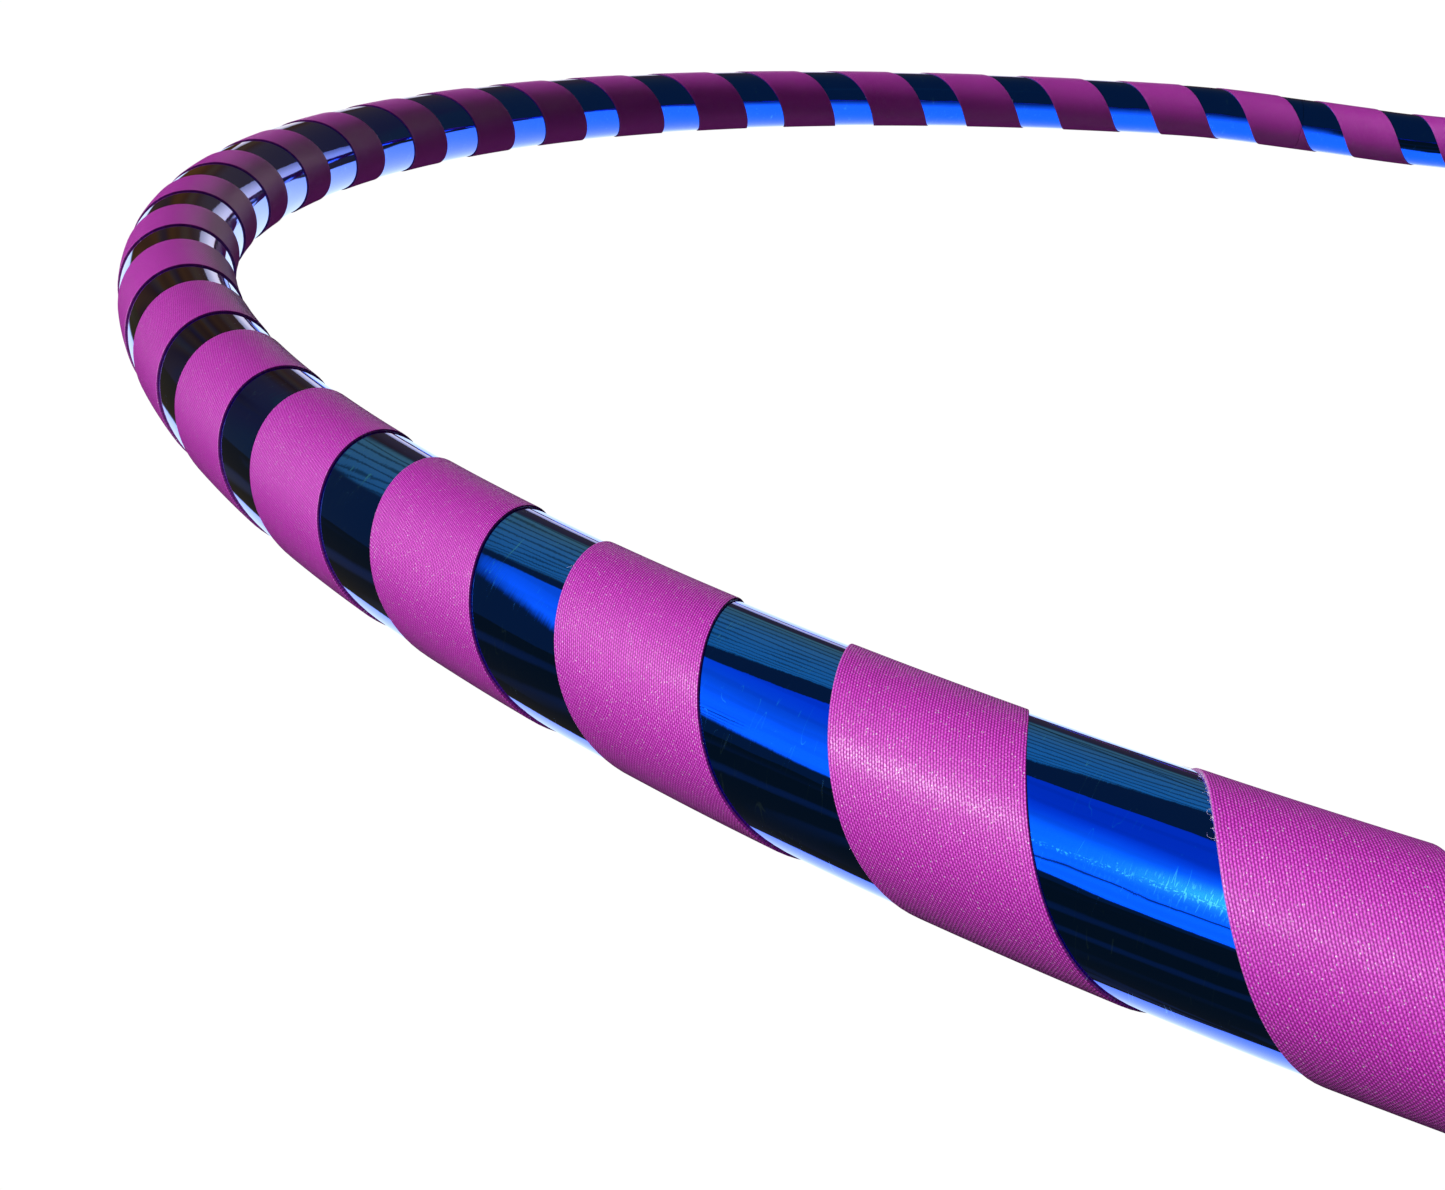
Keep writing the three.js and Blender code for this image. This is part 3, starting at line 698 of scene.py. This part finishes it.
def bowl(name, centre, rad, az, el, shade, keep=None):
    """Inward-looking glowing patch of a sphere with its colours painted on the vertices."""
    AZ, EL = np.meshgrid(az, el, indexing="ij")
    a, b = np.radians(AZ), np.radians(EL)
    v = centre + rad * np.stack([np.cos(a) * np.cos(b), np.sin(a) * np.cos(b), np.sin(b)], -1)
    na, ne = AZ.shape
    wrap = abs(az[-1] + (az[1] - az[0]) - az[0] - 360) < 1e-6
    i, j = np.meshgrid(np.arange(na if wrap else na - 1), np.arange(ne - 1), indexing="ij")
    i2 = (i + 1) % na
    f = np.stack([i * ne + j, i * ne + j + 1, i2 * ne + j + 1, i2 * ne + j], -1).reshape(-1, 4)
    rgb = shade(AZ, EL).reshape(-1, 3)
    if keep is not None:
        k_ = keep(AZ, EL).ravel()
        f = f[(k_[f] > 0).any(1)]
    ob = make_mesh(name, v.reshape(-1, 3), f, smooth=True)
    col = ob.data.color_attributes.new("glow", "FLOAT_COLOR", "POINT")
    rgba = np.ones((na * ne, 4), np.float32)
    rgba[:, :3] = rgb
    col.data.foreach_set("color", rgba.ravel())
    ob.data.materials.append(emitter(name + "_glow", (1, 1, 1), 1.0, "glow"))
    only(ob, glossy=True)
    return ob


def build_stage():
    """Floor, surroundings and lights; returns the two distant lamps and the glowing surroundings."""
    sc = bpy.context.scene
    # floor: a plain white sweep that only the camera sees, flat under the ring
    # and rising far away on every side
    prof = [(0.0, 0.0), (2.0, 0.0), (6.0, 0.0), (12.0, 0.0), (20.0, 0.0)]
    for k in range(1, 13):
        t = math.radians(90 * k / 12)
        prof.append((20.0 + 10.0 * math.sin(t), 10.0 - 10.0 * math.cos(t)))
    prof += [(30.0, 20.0), (28.0, 27.0), (22.0, 33.0), (12.0, 37.0), (0.0, 38.0)]
    n = 64
    v = [(r * math.cos(2 * math.pi * q / n), r * math.sin(2 * math.pi * q / n), z) for r, z in prof for q in range(n)]
    f = [(k * n + q, k * n + (q + 1) % n, (k + 1) * n + (q + 1) % n, (k + 1) * n + q)
         for k in range(len(prof) - 1) for q in range(n)]
    me = bpy.data.meshes.new("floor")
    me.from_pydata(v, [], f)
    floor = bpy.data.objects.new("floor", me)
    floor.location = (0, 0, -0.002)
    sc.collection.objects.link(floor)
    m = Nodes("floor_paper")
    n1 = m.noise(m.obj(), 3.0, 2.0)
    c = m.mix(n1, (0.985, 0.985, 0.985, 1), (1.0, 1.0, 1.0, 1))
    e = m.n("ShaderNodeEmission")
    m.put(e.inputs[0], c)
    e.inputs[1].default_value = 1.03
    m.t.links.new(e.outputs[0], m.out.inputs["Surface"])
    me.materials.append(m.mat)
    only(floor, camera=True)

    # surroundings that only the mirror film reflects
    P0 = np.array([-0.08, -0.46, BASE_Z / 1000])
    dome = bowl("surroundings", P0, 2.6, np.linspace(-180, 180, 720, endpoint=False), np.linspace(-89.6, 89.6, 361), room)
    ceiling = bowl("boarded_ceiling", P0, 0.8, np.linspace(91, 180, 357), np.linspace(9, 70, 489),
                   lambda a, e: boards(a, e)[0], lambda a, e: boards(a, e)[1])

    # the white backdrop that stands behind the ring, also only for reflections
    az0, dist, w = math.radians(115), 1.14, 0.52
    c = Vector((P0[0] + dist * math.cos(az0), P0[1] + dist * math.sin(az0), 0))
    t = Vector((-math.sin(az0), math.cos(az0), 0))
    zt, zb = BASE_Z / 1000 + 0.132, BASE_Z / 1000 - 0.012
    pts = []
    n = 24
    for k in range(n + 1):
        q = c + t * (-0.225 + (w + 0.225) * k / n)
        pts += [(q.x, q.y, zb), (q.x, q.y, zt * 0.55), (q.x, q.y, zt)]
    me = bpy.data.meshes.new("backdrop")
    fs = []
    for k in range(n):
        for r in range(2):
            fs.append((3 * k + r, 3 * k + 3 + r, 3 * k + 4 + r, 3 * k + 1 + r))
    me.from_pydata(pts, [], fs)
    backdrop = bpy.data.objects.new("backdrop", me)
    sc.collection.objects.link(backdrop)
    col = me.color_attributes.new("glow", "FLOAT_COLOR", "POINT")
    g = []
    for k in range(n + 1):
        g += [1.0, 0.93, 0.92, 1, 0.94, 0.87, 0.87, 1, 0.42, 0.40, 0.43, 1]
    col.data.foreach_set("color", np.array(g, np.float32))
    me.materials.append(emitter("backdrop_glow", (1, 1, 1), 1.0, "glow"))
    only(backdrop, glossy=True)
    glows = [dome, ceiling, backdrop]

    sc.view_settings.view_transform = "Standard"
    sc.view_settings.look = "None"
    sc.view_settings.exposure = 0.0
    sc.view_settings.gamma = 1.0
    world = bpy.data.worlds.new("studio")
    world.use_nodes = True
    bg = world.node_tree.nodes["Background"]
    bg.inputs[0].default_value = (1.0, 1.0, 1.0, 1)
    bg.inputs[1].default_value = WORLD
    sc.world = world

    def area(name, pos, target, size, power, colour=(1, 1, 1), size_y=None, gloss=False):
        L = bpy.data.lights.new(name, "AREA")
        L.shape = "RECTANGLE"
        L.size, L.size_y = size, size_y or size
        L.energy = power
        L.color = colour
        ob = bpy.data.objects.new(name, L)
        ob.location = pos
        ob.rotation_mode = "QUATERNION"
        ob.rotation_quaternion = (Vector(target) - Vector(pos)).to_track_quat("-Z", "Y")
        ob.visible_glossy = gloss
        sc.collection.objects.link(ob)
        return ob

    key = area("key", (-0.08, -1.02, 0.52), (-0.03, -0.46, 0.02), 0.34, KEY_W, (1.0, 0.985, 0.98), 0.34)
    key.data.spread = math.radians(78)
    area("bounce", (0.0, 0.1, -1.2), (0, 0.0, 0), 1.6, BOUNCE_W, (0.95, 0.97, 1.0))
    area("back", (-0.25, 1.9, 0.5), (0, 0.2, 0), 1.2, BACK_W, (0.97, 0.98, 1.0))
    # soft fill on the outer side of the joint, which the other lamps leave dark
    right = area("right_fill", (0.75, 0.50, 0.45), (0.42, 0.24, 0.02), 0.5, RIGHT_W, (1.0, 0.985, 0.98))
    right.data.spread = math.radians(46)
    area("rear_fill", (-0.70, 0.95, 0.16), (-0.22, 0.41, 0.02), 0.7, REAR_W, (1.0, 0.985, 0.98))
    def sun(name, az, el, power, spread):
        L = bpy.data.lights.new(name, "SUN")
        L.energy = power
        L.angle = math.radians(spread)
        L.color = (1.0, 0.985, 0.98)
        ob = bpy.data.objects.new(name, L)
        ob.rotation_mode = "QUATERNION"
        a_, e_ = math.radians(az), math.radians(el)
        ob.rotation_quaternion = Vector((math.cos(a_) * math.cos(e_), math.sin(a_) * math.cos(e_), math.sin(e_))).to_track_quat("Z", "Y")
        sc.collection.objects.link(ob)
        return ob

    return [sun("side", -131, 35, SIDE_W, 16), sun("front", -105, 36, FRONT_W, 14)], glows


WORLD = 0.005
KEY_W = 0.34
BOUNCE_W = 3.8
BACK_W = 2.0
REAR_W = 2.0
RIGHT_W = 0.9
SIDE_W = 2.4
FRONT_W = 0.58
suns, glows = build_stage()

# ------------------------------------------------------------------ the hoop
tape_mat = grip_cloth()
film_mat = mirror_film()
tube_mat = pipe_plastic("tube_plastic", (0.010, 0.010, 0.011, 1), (0.022, 0.022, 0.024, 1), 0.38)
insert_mat = pipe_plastic("insert_plastic", (0.66, 0.66, 0.63, 1), (0.80, 0.80, 0.78, 1), 0.35)

clip_th = JOINT_TH + (25 - 16) * MM
clip = local_frame(clip_th)
button_at = clip @ Matrix.Translation((0.016, 0, 0))
cutter = cylinder_cutter(button_at, 4.6, 8.6, 18)
cutter_film = cylinder_cutter(button_at, 4.75, 11, 18)
cutter_tape = cylinder_cutter(button_at, 4.95, 11, 18)

tube = sleeve("hoop_tube_pipe", TUBE_R, BORE_R, 0.75, 64)
cut(tube, cutter)
for off_mm in RIVETS_MM:
    seat = local_frame(JOINT_TH - off_mm * MM)
    for r0, r1, h0, h1 in ((2.35, 2.35, 6.0, 11.2), (2.35, 3.75, 11.19, 12.6), (3.75, 3.75, 12.59, 15.0)):
        c_ = cylinder_cutter(seat, r0, h0, h1, 48, r1)
        cut(tube, c_)
        bpy.data.objects.remove(c_, do_unlink=True)
tube.data.materials.append(tube_mat)
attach(tube, "hoop")
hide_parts("hoop_tube")

film = sleeve("mirror_film", FILM_R, FILM_IN, 0.6, 80, 0.2)
cut(film, cutter_film)
film.data.materials.append(film_mat)
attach(film, "hoop")
# the mirror shows the surroundings, not a disc of sun
keep_off = bpy.data.collections.new("not_side_lit")
keep_off.objects.link(film)
for lamp in suns:
    lamp.light_linking.receiver_collection = keep_off
keep_off.collection_objects[0].light_linking.link_state = "EXCLUDE"
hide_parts("mirror_film_wrap")

tape, tau, edge_a, edge_b, psi = tape_ribbon("grip_tape")
cut(tape, cutter_tape)
tape.data.materials.append(tape_mat)
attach(tape, "hoop")
# matt cloth takes its light from the lamps alone
no_glow = bpy.data.collections.new("not_lit_by_surroundings")
no_glow.objects.link(tape)
no_glow.collection_objects[0].light_linking.link_state = "EXCLUDE"
for g in glows[:2]:
    g.light_linking.receiver_collection = no_glow
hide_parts("grip_tape_wrap")
for c in (cutter, cutter_film, cutter_tape):
    bpy.data.objects.remove(c, do_unlink=True)


def loose_fibres(name, count=420):
    """Short threads that have worked loose along the tape's edges, as thin closed strands."""
    rng = np.random.default_rng(29)
    verts, faces = [], []
    sides = 4
    tuft = [int(np.argmin(np.abs(tau - (13 - q / 360)))) for q in rng.uniform(60, 106, 70)]
    for n_ in range(count + len(tuft)):
        k = int(rng.integers(40, len(tau) - 40)) if n_ < count else tuft[n_ - count]
        left = rng.random() < 0.68 or n_ >= count
        th0 = edge_a[k] if left else edge_b[k]
        out = -1 if left else 1
        length = float(np.clip(rng.gamma(2.0, 0.5), 0.3, 2.2)) if n_ < count else float(rng.uniform(0.25, 1.0) if rng.random() < 0.85 else rng.uniform(1.2, 2.2))
        n = 9
        r = 0.016 + 0.012 * rng.random()
        head = rng.normal(0, 0.9)
        turn = rng.normal(0, 1.6) if n_ < count else rng.choice([-1, 1]) * rng.uniform(2.0, 4.2)
        s = np.linspace(0, 1, n)
        ang = head + turn * s
        dx = np.cumsum(np.cos(ang)) * length / n * out
        dy = np.cumsum(np.sin(ang)) * length / n
        lift = 0.02 + rng.random() * 0.16 * np.sin(np.pi * s * (0.6 + 0.4 * rng.random()))
        base = FILM_R + 0.03 + 0.22 * (1 - s) ** 2 + lift
        th = th0 + (dx - dx[0] - 0.06 * out) * MM
        ps = psi[k] + (dy - dy[0]) / FILM_R
        c = skin(th, ps, base)
        t = np.gradient(c, axis=0)
        t /= np.linalg.norm(t, axis=1)[:, None]
        e = np.array([math.cos(math.radians(th0)) * math.cos(psi[k]), math.sin(math.radians(th0)) * math.cos(psi[k]), math.sin(psi[k])])
        b = np.cross(t, e)
        b /= np.linalg.norm(b, axis=1)[:, None]
        w = np.cross(b, t)
        o = len(verts)
        rad_ = r * (1 - 0.6 * s) / 1000
        for i in range(n):
            for q in range(sides):
                a = 2 * np.pi * q / sides
                verts.append(c[i] + rad_[i] * (b[i] * math.cos(a) + w[i] * math.sin(a)))
        for i in range(n - 1):
            for q in range(sides):
                faces.append((o + i * sides + q, o + (i + 1) * sides + q, o + (i + 1) * sides + (q + 1) % sides, o + i * sides + (q + 1) % sides))
        faces.append((o + 3, o + 2, o + 1, o))
        z = o + (n - 1) * sides
        faces.append((z, z + 1, z + 2, z + 3))
    return make_mesh(name, np.array(verts), np.array(faces))


fibres = loose_fibres("grip_tape_loose_fibres")
fibres.data.materials.append(lint_fibre())
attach(fibres, "hoop")


# ------------------------------------------------------------------ joint hardware
def turned(name, profile, m, n=64):
    """Solid of revolution about the frame's outward axis; profile is (radius, height) in mm, axis to axis."""
    verts, faces = [], []
    ring = []
    for r, h in profile:
        if r < 1e-6:
            ring.append([len(verts)])
            verts.append(tuple(m @ Vector((0, h / 1000, 0))))
        else:
            ids = []
            for k in range(n):
                a = 2 * math.pi * k / n
                ids.append(len(verts))
                verts.append(tuple(m @ Vector((r * math.cos(a) / 1000, h / 1000, r * math.sin(a) / 1000))))
            ring.append(ids)
    for p, q in zip(ring[:-1], ring[1:]):
        for k in range(n):
            a, b = p[k % len(p)], p[(k + 1) % len(p)]
            c, d = q[(k + 1) % len(q)], q[k % len(q)]
            ids = []
            for x in (a, b, c, d):
                if x not in ids:
                    ids.append(x)
            if len(ids) > 2:
                faces.append(ids)
    me = bpy.data.meshes.new(name)
    me.from_pydata(verts, [], faces)
    import bmesh
    bm = bmesh.new()
    bm.from_mesh(me)
    bmesh.ops.recalc_face_normals(bm, faces=bm.faces)
    bm.to_mesh(me)
    bm.free()
    me.polygons.foreach_set("use_smooth", [True] * len(me.polygons))
    me.update()
    me.set_sharp_from_angle(angle=math.radians(50))
    ob = bpy.data.objects.new(name, me)
    bpy.context.scene.collection.objects.link(ob)
    return ob


dome_profile = [(0, 4.2), (2.3, 4.2), (2.5, 4.4), (2.5, 4.85), (2.4, 4.95), (1.5, 4.95), (1.5, 6.45), (3.85, 6.45), (4.0, 6.6)]
for k in range(0, 13):
    a = k / 12 * math.pi / 2
    dome_profile.append((4.0 * math.cos(a) if k < 12 else 0.0, 15.1 - 2.2 + 2.2 * math.sin(a)))
button = turned("snap_button_dome", dome_profile, button_at)
button.data.materials.append(metal("button_steel", (0.62, 0.63, 0.65, 1), (0.80, 0.81, 0.83, 1), 0.12, (400, 400, 400)))
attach(button, "button")
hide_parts("snap_button")

cad_looks = {
    "connector_insert": insert_mat,
    "rivet_body_1": metal("rivet_aluminium", (0.55, 0.56, 0.57, 1), (0.74, 0.75, 0.76, 1), 0.32),
    "rivet_mandrel_1": metal("mandrel_steel", (0.36, 0.37, 0.38, 1), (0.55, 0.56, 0.57, 1), 0.36),
    "button_spring_fixed_leg": metal("spring_steel", (0.42, 0.43, 0.45, 1), (0.62, 0.63, 0.65, 1), 0.24, (60, 900, 900)),
}
cad_looks["rivet_body_2"] = cad_looks["rivet_body_1"]
cad_looks["rivet_mandrel_2"] = cad_looks["rivet_mandrel_1"]
cad_looks["button_spring_moving_leg"] = cad_looks["button_spring_fixed_leg"]
for node, mat in cad_looks.items():
    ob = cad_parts[node]
    ob.data.materials.clear()
    ob.data.materials.append(mat)
